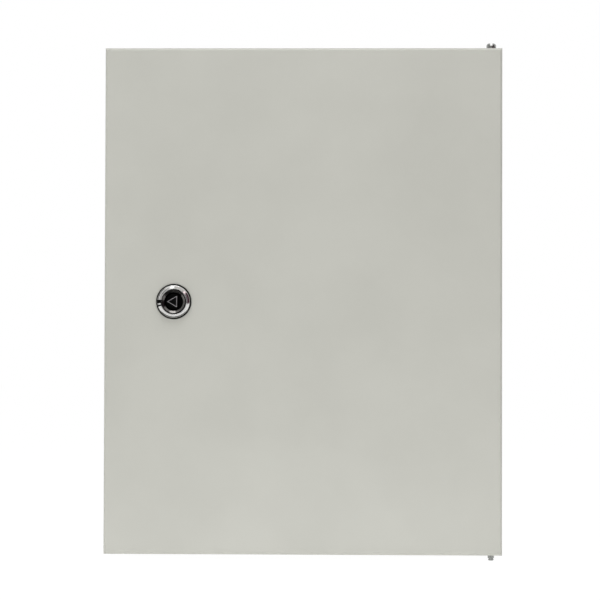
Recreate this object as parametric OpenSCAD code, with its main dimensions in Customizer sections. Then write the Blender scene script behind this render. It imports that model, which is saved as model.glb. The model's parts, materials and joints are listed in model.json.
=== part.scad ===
// Steel wall enclosure: a folded and welded sheet body, a hinged door with a quarter-turn
// cam lock, a mounting plate on studs and a gland plate with cable grommets in the floor.
// Millimetres, +Z up. The origin is the centre of the four wall holes on the wall plane,
// which is the back face at Y = 0. The door faces -Y and is hinged on its +X side.

/* [Enclosure] */
// Overall width
case_w = 310; // [240:5:600]
// Overall height of the body and the door
case_h = 395; // [320:5:800]
// Overall depth, from the wall to the door's front face
case_d = 220; // [150:5:300]
// Thickness of the body's sheet steel
sheet = 1.2; // [1:0.1:1.5]
// Inside radius of every fold
fold_r = 0.8; // [0.5:0.1:1.5]
// Width of the rim folded inwards round the front opening
rim_w = 22; // [22:1:28]
// How far the rim's sealing lip reaches forward
lip_h = 12; // [10:0.5:13]

/* [Door] */
// Thickness of the door's sheet steel
door_sheet = 1.5; // [1.2:0.1:2]
// Gap between the door's folded edge and the body's rim
door_gap = 2; // [1.5:0.1:3]
// Width of the foam gasket
gasket_w = 12; // [8:0.5:14]

/* [Hinge] */
// Distance of the hinge axis from the door's side edge
hinge_inset = 8.3; // [7.5:0.1:8.5]
// Distance of the hinge axis behind the door's front face
hinge_depth = 9; // [8.5:0.1:10]
// Diameter of both hinge pins
pin_d = 5; // [4:0.1:5.5]
// Diameter of the upper pin's slotted head
pin_head_d = 7.6; // [7:0.1:9]
// Height of the upper pin's slotted head
pin_head_h = 4.3; // [3.5:0.1:6.5]
// How far the lower pin reaches below the door
pin_tail = 4.2; // [2.5:0.1:6]
// Thickness of the hinge brackets
bracket_t = 3; // [2.5:0.1:4]
// Width of a bracket's arm
bracket_arm_w = 9; // [7:0.5:9]

/* [Lock] */
// Distance of the lock's axis from the door's free edge
lock_inset = 54.3; // [50:0.1:70]
// Distance of the lock's axis below the middle of the door
lock_drop = 0.9; // [0:0.1:20]
// Diameter of the lock's rubber seal, outside the flange
lock_seal_d = 27.6; // [26.5:0.1:30]
// Diameter of the lock's flange
lock_flange_d = 25.4; // [24:0.1:26]
// Height of the lock's flange above its seal
lock_flange_h = 2.6; // [2.4:0.1:4]
// Thread diameter of the lock's housing
lock_thread_d = 22; // [21:0.1:23]
// Width across the two flats of the housing
lock_flat_w = 20; // [19.4:0.1:20.5]
// Diameter of the rotor's head
rotor_head_d = 19; // [18.5:0.1:19.4]
// Diameter of the rotor's bearing
rotor_d = 17; // [16:0.1:17.4]
// Diameter of the well round the triangle
well_d = 14; // [12.5:0.1:14]
// Depth of the well
well_depth = 8; // [5:0.5:10]
// Height of the driving triangle, from a side to the opposite corner
triangle_h = 8; // [7:0.1:9]
// Thickness of the cam
cam_t = 3; // [2:0.5:4]
// Width of the cam
cam_w = 18; // [14:1:22]
// How far the cam reaches behind the rim when it is latched
cam_catch = 9; // [5:1:14]

/* [Wall fixing] */
// Spacing of the wall holes across the width
wall_hole_dx = 250; // [180:5:256]
// Spacing of the wall holes up the height
wall_hole_dz = 335; // [260:5:340]
// Diameter of the wall holes
wall_hole_d = 8.5; // [6:0.1:10]

/* [Mounting plate] */
// Width of the mounting plate
plate_w = 240; // [180:5:246]
// Height of the mounting plate
plate_h = 330; // [240:5:335]
// Thickness of the mounting plate
plate_t = 2; // [1.5:0.1:3]
// Cut across each corner of the mounting plate, which frees the wall holes
plate_cut = 20; // [18:1:22]
// Distance of the mounting plate from the back wall
plate_standoff = 15; // [8:1:25]
// Distance of the studs from the plate's side edges
stud_edge_x = 16; // [14:1:24]
// Distance of the studs from the plate's top and bottom edges
stud_edge_z = 32; // [28:1:50]
// Spacing across of the four device holes in the plate
device_dx = 180; // [60:5:190]
// Spacing up of the four device holes in the plate
device_dz = 200; // [60:5:220]
// Diameter of the device holes
device_hole_d = 5.5; // [4:0.1:6.5]

/* [Gland plate] */
// Width of the cable opening in the floor
gland_w = 180; // [150:5:190]
// Depth of the cable opening in the floor
gland_d = 80; // [60:5:90]
// Border of the gland plate round the opening
gland_border = 14; // [12:1:16]
// Thickness of the gland plate
gland_t = 1.5; // [1.2:0.1:2]
// Thickness of the gland plate's foam gasket
gland_seal_t = 3; // [2:0.5:4]
// Distance of the opening's centre from the wall
gland_from_wall = 105; // [90:5:110]
// Number of cable grommets
grommets = 3; // [1:1:3]
// Spacing of the cable grommets
grommet_pitch = 55; // [45:1:60]
// Diameter of the plate's hole for a grommet
grommet_hole_d = 28; // [22:0.5:32]
// Diameter of the cable's hole through a grommet
cable_d = 8; // [4:0.5:12]

/* [Fasteners] */
// Thread diameter of the mounting plate's studs
plate_thread = 8; // [6:0.5:8]
// Thread diameter of the earth studs
earth_thread = 6; // [5:0.5:8]
// Thread diameter of the gland plate's studs
gland_thread = 5; // [4:0.5:6]
// Thread diameter of the cam's screw
cam_thread = 6; // [4:0.5:6]

/* [Hidden] */
$fn = 96;

// Clearances
eps = 0.01;              // overshoot of a cut at a face that stays
over = 1;                // overshoot of a cut right through
bend_stub = 0.5;         // straight metal drawn with each bend, inside the flat next to it
running_fit = 0.1;       // radial, a turning pin in its hole
bearing_fit = 0.08;      // radial, the lock's rotor in its housing
hinge_play = 0.1;        // end play of the hinge
swing_clear = 0.8;       // round everything that swings past the body
slot_clear = 0.1;        // round a tongue in its slot
soft_clear = 0.3;        // between a soft seal and what presses it
cam_clear = 0.4;         // between the latched cam and the rim
rotor_play = 0.2;        // end play of the lock's rotor
bolt_fit = 0.25;         // radial, a stud in its clearance hole
head_fit = 0.25;         // radial, the rotor's head in the flange
head_gap = 0.1;          // behind the rotor's head
ring_fit = 0.02;         // radial, the O-ring off its groove's floor
ring_play = 0.3;         // the O-ring along its groove
screw_gap = 0.5;         // past the end of the cam's screw

// Body and door planes
half_w = case_w / 2;
half_h = case_h / 2;
bend_out = fold_r + sheet;
bend_mid = fold_r + sheet / 2;
front_y = -case_d;                                     // the door's front face
hinge_x = half_w - hinge_inset;
hinge_y = front_y + hinge_depth;
corner_swing = norm([hinge_inset, hinge_depth]);       // the door corner's radius about the axis
rim_y = hinge_y + corner_swing + swing_clear;          // the rim's front face
lip_line = rim_w + sheet / 2;                          // the lip's mid line, in from the outside
lip_y = rim_y - lip_h;                                 // the lip's front edge
door_return = rim_y - door_gap - front_y;
door_bend = fold_r + door_sheet;
edge_swing = corner_swing - swing_clear / 4;           // radius that the folded edges are cut to
hinge_return = hinge_depth + sqrt(pow(edge_swing, 2) - pow(hinge_inset, 2));
mitre_reach = rim_w + 3 * sheet;

// Hinge, for the upper end; the lower end mirrors it
washer_t = 1.2;
washer_rim = 1;          // the washer's edge in from the eye's
eye_r = 6;
door_inner_z = half_h - door_sheet;
tongue_top = door_inner_z - hinge_play - washer_t;
tongue_z = tongue_top - bracket_t / 2;
foot_h = 24;
foot_y = rim_y + sheet + bracket_t / 2;
hinge_nut_h = 4;
hinge_nut_w = 8;
under_nut = 4;           // free height of the notch under the nut
notch_h = half_h - tongue_top + bracket_t + hinge_nut_h + under_nut;
notch_depth = door_bend + bend_stub;
rim_slot_h = 1.5 * bracket_t;                          // room for the bracket and its bend
pin_past_nut = 1;
pin_edge_r = 2;          // round edge of the upper pin's head
slot_w = 1.8;            // the screwdriver slot of the upper pin
slot_deep = 2;
tail_groove_w = 0.7;
tail_groove_deep = 0.35;
tail_groove_up = 1.5;    // height of the groove above the pin's end
tail_tip_d = 4.2;
tail_chamfer = 0.4;
foot_head_h = 2;         // head of the lower pin, on the bracket
foot_head_rim = 1.5;
foot_head_chamfer = 0.5;

// Lock, measured from the door's front face
lock_x = -half_w + lock_inset;
lock_z = -lock_drop;
lock_seal_t = 1;
flange_y = front_y - lock_seal_t - lock_flange_h;      // the flange's front
rotor_recess = 0.3;                                    // rotor face behind the flange's front
rotor_y = flange_y + rotor_recess;
rotor_head_proud = 0.5;                                // rotor head's back in front of the door
rotor_head_y = front_y - rotor_head_proud;
cam_y = rim_y + sheet + cam_clear;                     // the cam's front face
housing_end = cam_y - rotor_play;
cam_reach = lock_inset - rim_w - sheet + cam_catch;
square_w = 8;
cam_washer_t = 1.5;
cam_head_w = 10;
cam_head_h = 4;
cam_screw_l = 12;
lock_nut_w = 27;
lock_nut_h = 5;
ring_r = 0.7;                                          // O-ring section
ring_in = 10;                                          // O-ring behind the door's front face
ring_y = front_y + ring_in;
groove_deep = 1.7;
groove_floor_r = rotor_d / 2 - groove_deep;
head_hole_r = rotor_head_d / 2 + head_fit;
flange_edge_r = 1.9;     // round outer edge of the flange
index_w = 2.4;           // index notch of the flange
index_deep = 1.8;
mark_w = 0.8;            // thin mark below the notch
mark_turn = 15;
sink_rim = 0.8;          // flat rim left round the rotor's countersink
sink_deep = 2;
triangle_recess = 0.8;   // front of the triangle behind the rotor's face
cam_hub_rim = 2;

// Mounting plate
wall_y = -sheet;                                       // inside face of the back wall
plate_y = wall_y - plate_standoff;                     // the plate's back face
stud_x = plate_w / 2 - stud_edge_x;
stud_z = plate_h / 2 - stud_edge_z;
spacer_wall = 2.5;
plate_washer_t = 1.6;
plate_nut_h = 6.5;
stud_end = 4;                                          // thread past the nut

// Gland plate, on the inside of the floor
floor_z = -half_h + sheet;
gland_y = -gland_from_wall;
gland_plate_z = floor_z + gland_seal_t;
gland_stud_x = gland_w / 2 + gland_border / 2;
gland_stud_y = gland_d / 2 + gland_border / 2;
gland_nut_h = 4.7;
gland_flange_t = 1.2;                                  // the flange is the nut's washer
gland_corner = 6;
grommet_lip = 3;                                       // lip under the plate, past the hole
grommet_lip_h = 2.2;
grommet_bead = 4;                                      // bead over the plate, past the hole
grommet_bead_h = 2.6;
grommet_edge = 1.4;                                    // bevel of the lip and the bead
grommet_neck = 2.5;                                    // wall inside the plate's hole
collar_wall = 2;
collar_tip_wall = 1.5;
collar_recess = 0.4;                                   // collar's end above the floor's underside
membrane_low = 0.6;                                    // membrane below the plate's mid plane
membrane_high = 0.8;                                   // and above it

// Earth studs
earth_x = (half_w + plate_w / 2) / 2;
earth_z = -case_h / 4;
door_earth_in = 30;                                    // in from the rim's inner edge
door_earth_up = 35;                                    // up from the rim's inner edge
door_earth_x = half_w - rim_w - door_earth_in;
door_earth_z = -half_h + rim_w + door_earth_up;
earth_len = 20;
door_earth_len = 16;
earth_washer_t = 1.6;
earth_nut_h = 5;

// Fasteners: widths as a share of the thread's diameter
m5_flats = 8 / 5;
m6_flats = 10 / 6;
m8_flats = 13 / 8;
m5_flange = 11 / 5;
washer_share = 2;
wide_washer_share = 5 / 2;
thread_chamfer = 0.12;
nut_chamfer = 0.7;       // share of the corner that stands past the flats

// ---------- shared shapes ----------

function unit(v) = v / norm(v);

// Quarter plane x < edge, y > -edge whose corner is rounded about (-r, r)
module bend_side(r, edge, size) {
    translate([-size, r])
        square([size + edge, size - r]);
    translate([-size, -edge])
        square([size - r, size + edge]);
    translate([-r, r])
        circle(r + edge);
}

// One right-angle bend, from the -x side to the +y side, with a short straight at each end
module bend(t, r) {
    reach = r + bend_stub;
    difference() {
        intersection() {
            bend_side(r, t / 2, 3 * reach);
            translate([-reach, -t])
                square([reach + t, reach + t]);
        }
        bend_side(r, -t / 2, 4 * reach);
    }
}

// Section of a sheet folded at right angles along its mid line
module bent_strip(path, t, r) {
    last = len(path) - 1;
    for (i = [0 : last - 1]) {
        u = unit(path[i + 1] - path[i]);
        a = path[i] + (i > 0 ? r : 0) * u;
        b = path[i + 1] - (i + 1 < last ? r : 0) * u;
        translate((a + b) / 2)
            rotate(atan2(u[1], u[0]))
                square([norm(b - a), t], center = true);
    }
    for (i = [1 : last - 1]) {
        u = unit(path[i] - path[i - 1]);
        v = unit(path[i + 1] - path[i]);
        turn = u[0] * v[1] - u[1] * v[0];
        translate(path[i])
            rotate(atan2(u[1], u[0]))
                scale([1, turn])
                    bend(t, r);
    }
}

// Rectangle centred on the origin with round corners
module rounded(w, d, r) {
    square([w - 2 * r, d], center = true);
    square([w, d - 2 * r], center = true);
    for (sx = [-1, 1], sy = [-1, 1])
        translate([sx * (w / 2 - r), sy * (d / 2 - r)])
            circle(r);
}

// Rectangle from y = 0 to y = d whose two front corners are round
module front_rounded(w, d, r) {
    translate([-w / 2, r])
        square([w, d - r]);
    translate([-w / 2 + r, 0])
        square([w - 2 * r, d]);
    for (sx = [-1, 1])
        translate([sx * (w / 2 - r), r])
            circle(r);
}

// Extrudes a (y, z) section along X, centred
module along_x(length) {
    rotate([90, 0, 90])
        linear_extrude(length, center = true)
            children();
}

// Extrudes an (x, z) outline along Y, from y0 to y1
module along_y(y0, y1) {
    translate([0, y1, 0])
        rotate([90, 0, 0])
            linear_extrude(y1 - y0)
                children();
}

// Cylinder along Y, from y0 to y1
module rod_y(d, y0, y1) {
    along_y(y0, y1)
        circle(d = d);
}

// Ring along Y between two radii
module rod_ring(r0, r1, y0, y1) {
    along_y(y0, y1)
        difference() {
            circle(r1);
            circle(r0);
        }
}

// Places its children at the four corners of a rectangle in X and Z
module at_four(x, z) {
    for (sx = [-1, 1], sz = [-1, 1])
        translate([sx * x, 0, sz * z])
            children();
}

// Places its children at the cable opening's six studs
module at_gland_studs() {
    for (x = [-gland_stud_x, 0, gland_stud_x], sy = [-1, 1])
        translate([x, gland_y + sy * gland_stud_y, 0])
            children();
}

// Places its children at each cable grommet, on the gland plate's lower face
module at_grommets() {
    for (i = [0 : grommets - 1])
        translate([(i - (grommets - 1) / 2) * grommet_pitch, gland_y, gland_plate_z])
            children();
}

// Hexagon nut on the XY plane, chamfered like a turned blank, w across its flats
module hex_nut(w, h, bore) {
    corner_r = w / 2 / cos(30);
    chamfer = (corner_r - w / 2) * nut_chamfer;
    difference() {
        intersection() {
            cylinder(h = h, r = corner_r, $fn = 6);
            rotate_extrude()
                polygon([
                    [0, 0], [corner_r - chamfer, 0], [corner_r, chamfer / 2],
                    [corner_r, h - chamfer / 2], [corner_r - chamfer, h], [0, h]
                ]);
        }
        translate([0, 0, -eps])
            cylinder(h = h + 2 * eps, d = bore);
    }
}

// Flat washer on the XY plane
module washer(outer, inner, t) {
    linear_extrude(t)
        difference() {
            circle(d = outer);
            circle(d = inner);
        }
}

// Welded stud with a chamfered end, standing on the XY plane
module stud(d, length) {
    tip = d * thread_chamfer;
    rotate_extrude()
        polygon([[0, 0], [d / 2, 0], [d / 2, length - tip], [d / 2 - tip, length], [0, length]]);
}

// Turns a piece that stands on the XY plane so that it points to -Y from the plane y
module face_front(y) {
    translate([0, y, 0])
        rotate([90, 0, 0])
            children();
}

// ---------- body ----------

// Wedge over the 45 degree line of each corner; flip = 1 takes the side below the line
module mitre_wedge(flip) {
    far = mitre_reach + over;
    along_y(lip_y - over, wall_y)
        for (sx = [-1, 1], sz = [-1, 1])
            scale([sx, sz])
                translate([half_w, half_h])
                    polygon(flip == 0
                        ? [[0, 0], [0, over], [-far, over], [-far, -far]]
                        : [[0, 0], [over, 0], [over, -far], [-far, -far]]);
}

// Slots in the rim that the two hinge brackets pass through, tall enough for their bends
module bracket_slots() {
    for (sz = [-1, 1])
        scale([1, 1, sz])
            translate([hinge_x - bracket_arm_w - slot_clear, rim_y - over,
                       tongue_z + bracket_t / 2 - rim_slot_h - slot_clear])
                cube([bracket_arm_w + 2 * slot_clear, sheet + 2 * over, rim_slot_h + 2 * slot_clear]);
}

module body_wrap() {
    lip_x = half_w - lip_line;
    side_x = half_w - sheet / 2;
    rim_mid = rim_y + sheet / 2;
    color("gainsboro")
        difference() {
            linear_extrude(case_h, center = true)
                bent_strip([
                    [-lip_x, lip_y], [-lip_x, rim_mid], [-side_x, rim_mid], [-side_x, -sheet / 2],
                    [side_x, -sheet / 2], [side_x, rim_mid], [lip_x, rim_mid], [lip_x, lip_y]
                ], sheet, bend_mid);
            mitre_wedge(0);
            at_four(wall_hole_dx / 2, wall_hole_dz / 2)
                rod_y(wall_hole_d, wall_y - over, over);
            bracket_slots();
        }
}

// The roof or, mirrored, the floor: a plate with its own rim and lip at the front
module end_panel() {
    lip_z = half_h - lip_line;
    top_z = half_h - sheet / 2;
    rim_mid = rim_y + sheet / 2;
    difference() {
        intersection() {
            along_x(case_w)
                bent_strip([[lip_y, lip_z], [rim_mid, lip_z], [rim_mid, top_z], [wall_y, top_z]],
                    sheet, bend_mid);
            translate([0, lip_y / 2, 0])
                linear_extrude(case_h, center = true)
                    rounded(case_w, -lip_y, bend_out);
        }
        mitre_wedge(1);
        bracket_slots();
    }
}

module top_panel() {
    color("gainsboro")
        end_panel();
}

module bottom_panel() {
    color("gainsboro")
        difference() {
            mirror([0, 0, 1])
                end_panel();
            translate([0, gland_y, -half_h - over])
                linear_extrude(sheet + 2 * over)
                    rounded(gland_w, gland_d, gland_corner);
        }
}

// ---------- hinge ----------

// Upper bracket: an eye and an arm under the door's top edge, and a foot behind the rim
module hinge_bracket() {
    difference() {
        union() {
            translate([hinge_x - bracket_arm_w / 2, 0, 0])
                along_x(bracket_arm_w)
                    bent_strip([[hinge_y, tongue_z], [foot_y, tongue_z], [foot_y, tongue_top - foot_h]],
                        bracket_t, bracket_t);
            translate([hinge_x, hinge_y, tongue_top - bracket_t])
                cylinder(h = bracket_t, r = eye_r);
        }
        translate([hinge_x, hinge_y, tongue_top - bracket_t - over])
            cylinder(h = bracket_t + 2 * over, d = pin_d);
    }
}

module upper_hinge_bracket() {
    color("silver")
        hinge_bracket();
}

module lower_hinge_bracket() {
    color("silver")
        mirror([0, 0, 1])
            hinge_bracket();
}

// Screw with a slotted round head on the door's top edge and its shank down to the nut
module upper_hinge_pin() {
    head_z = half_h + hinge_play;
    shank = head_z - tongue_top + bracket_t + hinge_nut_h + pin_past_nut;
    flat_r = pin_head_d / 2 - pin_edge_r;
    color("lightgray")
        translate([hinge_x, hinge_y, head_z])
            difference() {
                union() {
                    rotate_extrude()
                        difference() {
                            union() {
                                square([pin_head_d / 2, pin_head_h - pin_edge_r]);
                                square([flat_r, pin_head_h]);
                                translate([flat_r, pin_head_h - pin_edge_r])
                                    circle(pin_edge_r);
                            }
                            translate([-pin_edge_r, 0])
                                square([pin_edge_r, pin_head_h]);
                        }
                    translate([0, 0, -shank])
                        cylinder(h = shank + eps, d = pin_d);
                }
                translate([-slot_w / 2, -pin_head_d, pin_head_h - slot_deep])
                    cube([slot_w, 2 * pin_head_d, slot_deep + over]);
            }
}

// Headed pin held in the lower bracket, with a grooved and chamfered end below the door
module lower_hinge_pin() {
    r = pin_d / 2;
    tip_r = tail_tip_d / 2;
    end_z = -half_h - pin_tail;
    groove_z = end_z + tail_groove_up;
    seat_z = -tongue_top + bracket_t;
    head_top = seat_z + foot_head_h;
    color("lightgray")
        translate([hinge_x, hinge_y, 0])
            rotate_extrude()
                polygon([
                    [0, end_z], [tip_r - tail_chamfer, end_z], [tip_r, end_z + tail_chamfer],
                    [tip_r, groove_z - tail_groove_w / 2],
                    [tip_r - tail_groove_deep, groove_z - tail_groove_w / 2],
                    [tip_r - tail_groove_deep, groove_z + tail_groove_w / 2],
                    [r, groove_z + tail_groove_w / 2], [r, seat_z],
                    [r + foot_head_rim, seat_z], [r + foot_head_rim, head_top - foot_head_chamfer],
                    [r + foot_head_rim - foot_head_chamfer, head_top], [0, head_top]
                ]);
}

module hinge_washers() {
    color("white")
        for (z = [tongue_top, -tongue_top - washer_t])
            translate([hinge_x, hinge_y, z])
                washer(2 * (eye_r - washer_rim), pin_d, washer_t);
}

module hinge_nut() {
    color("silver")
        translate([hinge_x, hinge_y, tongue_top - bracket_t - hinge_nut_h])
            hex_nut(hinge_nut_w, hinge_nut_h, pin_d);
}

// ---------- mounting plate ----------

module plate_studs() {
    length = plate_standoff + plate_t + plate_washer_t + plate_nut_h + stud_end;
    color("silver")
        at_four(stud_x, stud_z)
            face_front(wall_y)
                stud(plate_thread, length);
}

module plate_spacers() {
    color("silver")
        at_four(stud_x, stud_z)
            face_front(wall_y)
                washer(plate_thread + 2 * spacer_wall, plate_thread + 2 * bolt_fit, plate_standoff);
}

module mounting_plate() {
    hw = plate_w / 2;
    hh = plate_h / 2;
    color("silver")
        difference() {
            along_y(plate_y - plate_t, plate_y)
                polygon([
                    [-hw + plate_cut, -hh], [hw - plate_cut, -hh], [hw, -hh + plate_cut],
                    [hw, hh - plate_cut], [hw - plate_cut, hh], [-hw + plate_cut, hh],
                    [-hw, hh - plate_cut], [-hw, -hh + plate_cut]
                ]);
            at_four(stud_x, stud_z)
                rod_y(plate_thread + 2 * bolt_fit, plate_y - plate_t - over, plate_y + over);
            at_four(device_dx / 2, device_dz / 2)
                rod_y(device_hole_d, plate_y - plate_t - over, plate_y + over);
        }
}

module plate_washers() {
    color("silver")
        at_four(stud_x, stud_z)
            face_front(plate_y - plate_t)
                washer(washer_share * plate_thread, plate_thread + 2 * bolt_fit, plate_washer_t);
}

module plate_nuts() {
    color("silver")
        at_four(stud_x, stud_z)
            face_front(plate_y - plate_t - plate_washer_t)
                hex_nut(plate_thread * m8_flats, plate_nut_h, plate_thread);
}

// ---------- gland plate ----------

module gland_gasket() {
    color("dimgray")
        translate([0, 0, floor_z])
            linear_extrude(gland_seal_t)
                difference() {
                    translate([0, gland_y])
                        rounded(gland_w + 2 * gland_border, gland_d + 2 * gland_border,
                            gland_corner + gland_border / 2);
                    translate([0, gland_y])
                        rounded(gland_w, gland_d, gland_corner);
                    at_gland_studs()
                        circle(d = gland_thread + 2 * soft_clear);
                }
}

module gland_plate() {
    color("gainsboro")
        translate([0, 0, gland_plate_z])
            linear_extrude(gland_t)
                difference() {
                    translate([0, gland_y])
                        rounded(gland_w + 2 * gland_border, gland_d + 2 * gland_border,
                            gland_corner + gland_border / 2);
                    at_gland_studs()
                        circle(d = gland_thread + 2 * bolt_fit);
                    for (i = [0 : grommets - 1])
                        translate([(i - (grommets - 1) / 2) * grommet_pitch, gland_y])
                            circle(d = grommet_hole_d);
                }
}

module gland_studs() {
    length = gland_seal_t + gland_t + gland_nut_h + stud_end;
    color("silver")
        at_gland_studs()
            translate([0, 0, floor_z])
                stud(gland_thread, length);
}

// Flanged nuts
module gland_nuts() {
    color("silver")
        at_gland_studs()
            translate([0, 0, gland_plate_z + gland_t]) {
                washer(gland_thread * m5_flange, gland_thread, gland_flange_t);
                translate([0, 0, gland_flange_t])
                    hex_nut(gland_thread * m5_flats, gland_nut_h - gland_flange_t, gland_thread);
            }
}

// Rubber grommet: a grooved rim round the plate's hole, a membrane and a collar for the cable
module cable_grommets() {
    hole_r = grommet_hole_d / 2;
    neck_r = hole_r - grommet_neck;
    lip_r = hole_r + grommet_lip;
    bead_r = hole_r + grommet_bead;
    bead_top = gland_t + grommet_bead_h;
    bore_r = cable_d / 2;
    collar_low = collar_recess - gland_seal_t - sheet;
    web_low = gland_t / 2 - membrane_low;
    web_high = gland_t / 2 + membrane_high;
    color("dimgray")
        at_grommets()
            rotate_extrude()
                polygon([
                    [bore_r, collar_low], [bore_r + collar_tip_wall, collar_low],
                    [bore_r + collar_wall, web_low], [neck_r, web_low], [neck_r, -grommet_lip_h],
                    [lip_r - grommet_edge, -grommet_lip_h], [lip_r, grommet_edge - grommet_lip_h],
                    [lip_r, 0], [hole_r, 0], [hole_r, gland_t], [bead_r, gland_t],
                    [bead_r, bead_top - grommet_edge], [bead_r - grommet_edge, bead_top],
                    [neck_r, bead_top], [neck_r, web_high], [bore_r + collar_wall, web_high],
                    [bore_r + collar_wall, bead_top], [bore_r, bead_top]
                ]);
}

// ---------- earth studs ----------

module earth_stud() {
    color("silver")
        translate([earth_x, 0, earth_z])
            face_front(wall_y)
                stud(earth_thread, earth_len);
}

module earth_washer() {
    color("silver")
        translate([earth_x, 0, earth_z])
            face_front(wall_y)
                washer(washer_share * earth_thread, earth_thread + 2 * bolt_fit, earth_washer_t);
}

module earth_nut() {
    color("silver")
        translate([earth_x, 0, earth_z])
            face_front(wall_y - earth_washer_t)
                hex_nut(earth_thread * m6_flats, earth_nut_h, earth_thread);
}

// Turns a piece that stands on the XY plane so that it points to +Y from the door's inside
module face_back(y) {
    translate([door_earth_x, y, door_earth_z])
        rotate([-90, 0, 0])
            children();
}

module door_earth_stud() {
    color("silver")
        face_back(front_y + door_sheet)
            stud(earth_thread, door_earth_len);
}

module door_earth_washer() {
    color("silver")
        face_back(front_y + door_sheet)
            washer(washer_share * earth_thread, earth_thread + 2 * bolt_fit, earth_washer_t);
}

module door_earth_nut() {
    color("silver")
        face_back(front_y + door_sheet + earth_washer_t)
            hex_nut(earth_thread * m6_flats, earth_nut_h, earth_thread);
}

// ---------- door ----------

// Block with its front edges rounded in both directions
module pan_block(w, h, d, r) {
    intersection() {
        linear_extrude(h, center = true)
            front_rounded(w, d, r);
        along_x(w)
            mirror([1, -1])
                front_rounded(h, d, r);
    }
}

// Outline of the lock's threaded housing, round with two flats
module lock_outline(d, flats) {
    intersection() {
        circle(d = d);
        square([d + over, flats], center = true);
    }
}

module door_panel() {
    side_cut = half_w - door_sheet - fold_r;
    color("gainsboro")
        difference() {
            translate([0, front_y, 0])
                pan_block(case_w, case_h, door_return, door_bend);
            translate([0, front_y + door_sheet, 0])
                pan_block(case_w - 2 * door_sheet, case_h - 2 * door_sheet, door_return, fold_r);
            // the hinge side's folded edge is shallower
            translate([side_cut, front_y + hinge_return, -door_inner_z])
                cube([half_w, door_return, 2 * door_inner_z]);
            for (sz = [-1, 1])
                scale([1, 1, sz]) {
                    // notch that the bracket passes through when the door swings
                    translate([side_cut, front_y + notch_depth, half_h - notch_h])
                        cube([half_w, door_return, notch_h - door_sheet]);
                    // corner of the top and bottom edges, cut to the swing's radius
                    difference() {
                        translate([hinge_x, hinge_y, door_inner_z - eps])
                            cube([hinge_inset + over, door_return, door_sheet + over]);
                        translate([hinge_x, hinge_y, door_inner_z - over])
                            cylinder(h = door_sheet + 3 * over, r = edge_swing);
                    }
                    translate([hinge_x, hinge_y, door_inner_z - over])
                        cylinder(h = door_sheet + 2 * over, r = pin_d / 2 + running_fit);
                }
            translate([lock_x, 0, lock_z])
                along_y(front_y - over, front_y + door_sheet + over)
                    lock_outline(lock_thread_d + 2 * bolt_fit, lock_flat_w + 2 * bolt_fit);
        }
}

module door_gasket() {
    w = case_w - 2 * lip_line;
    h = case_h - 2 * lip_line;
    color("dimgray")
        along_y(front_y + door_sheet, lip_y - soft_clear)
            difference() {
                rounded(w + gasket_w, h + gasket_w, gasket_w);
                square([w - gasket_w, h - gasket_w], center = true);
            }
}

// ---------- lock ----------

module lock_seal() {
    color("black")
        translate([lock_x, 0, lock_z])
            along_y(front_y - lock_seal_t, front_y)
                difference() {
                    circle(d = lock_seal_d);
                    circle(d = lock_thread_d + 2 * bolt_fit);
                }
}

// Flange with a round-edged ring, a threaded barrel with two flats and the rotor's bearing
module lock_housing() {
    flange_r = lock_flange_d / 2;
    flat_r = flange_r - flange_edge_r;
    color("silver")
        translate([lock_x, 0, lock_z])
            difference() {
                union() {
                    face_front(front_y - lock_seal_t)
                        rotate_extrude()
                            intersection() {
                                square([flange_r, lock_flange_h]);
                                union() {
                                    square([flange_r, lock_flange_h - flange_edge_r]);
                                    square([flat_r, lock_flange_h]);
                                    translate([flat_r, lock_flange_h - flange_edge_r])
                                        circle(flange_edge_r);
                                }
                            }
                    along_y(front_y - lock_seal_t - eps, housing_end)
                        lock_outline(lock_thread_d, lock_flat_w);
                }
                rod_y(2 * head_hole_r, flange_y - over, rotor_head_y + head_gap);
                rod_y(rotor_d + 2 * bearing_fit, rotor_head_y, housing_end + over);
                // index notch at nine o'clock and the thin mark below it
                for (cut = [[index_w, 0], [mark_w, mark_turn]])
                    rotate([0, -cut[1], 0])
                        translate([-flange_r - over, flange_y - over, -cut[0] / 2])
                            cube([flange_r - head_hole_r + 2 * over, index_deep + over, cut[0]]);
            }
}

module lock_nut() {
    color("silver")
        translate([lock_x, 0, lock_z])
            face_front(front_y + door_sheet + lock_nut_h)
                hex_nut(lock_nut_w, lock_nut_h, lock_thread_d);
}

// Rotor: a head with a countersunk well, the driving triangle in it, the bearing, a groove
// for the O-ring and the square that carries the cam
module lock_rotor() {
    rim_r = rotor_head_d / 2 - sink_rim;
    bearing_r = rotor_d / 2;
    well_r = well_d / 2;
    floor_y = rotor_y + well_depth;
    groove_w = 2 * ring_r + ring_play;
    corner_r = triangle_h * 2 / 3;
    color("black")
        translate([lock_x, 0, lock_z])
            difference() {
                union() {
                    difference() {
                        union() {
                            rod_y(rotor_head_d, rotor_y, rotor_head_y);
                            rod_y(rotor_d, rotor_head_y - eps, cam_y);
                        }
                        face_front(floor_y)
                            rotate_extrude()
                                polygon([
                                    [0, 0], [well_r, 0], [well_r, well_depth - sink_deep],
                                    [rim_r, well_depth], [rim_r, well_depth + over],
                                    [0, well_depth + over]
                                ]);
                        rod_ring(groove_floor_r, bearing_r + over, ring_y - groove_w / 2,
                            ring_y + groove_w / 2);
                    }
                    // driving triangle, one corner to the left
                    along_y(rotor_y + triangle_recess, floor_y + eps)
                        rotate(180)
                            circle(corner_r, $fn = 3);
                    translate([-square_w / 2, cam_y - eps, -square_w / 2])
                        cube([square_w, cam_t + eps, square_w]);
                }
                rod_y(cam_thread, cam_y + cam_t - cam_screw_l, cam_y + cam_t + over);
            }
}

module lock_o_ring() {
    color("black")
        translate([lock_x, ring_y, lock_z])
            rotate([90, 0, 0])
                rotate_extrude()
                    translate([groove_floor_r + ring_r + ring_fit, 0])
                        circle(ring_r);
}

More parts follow.
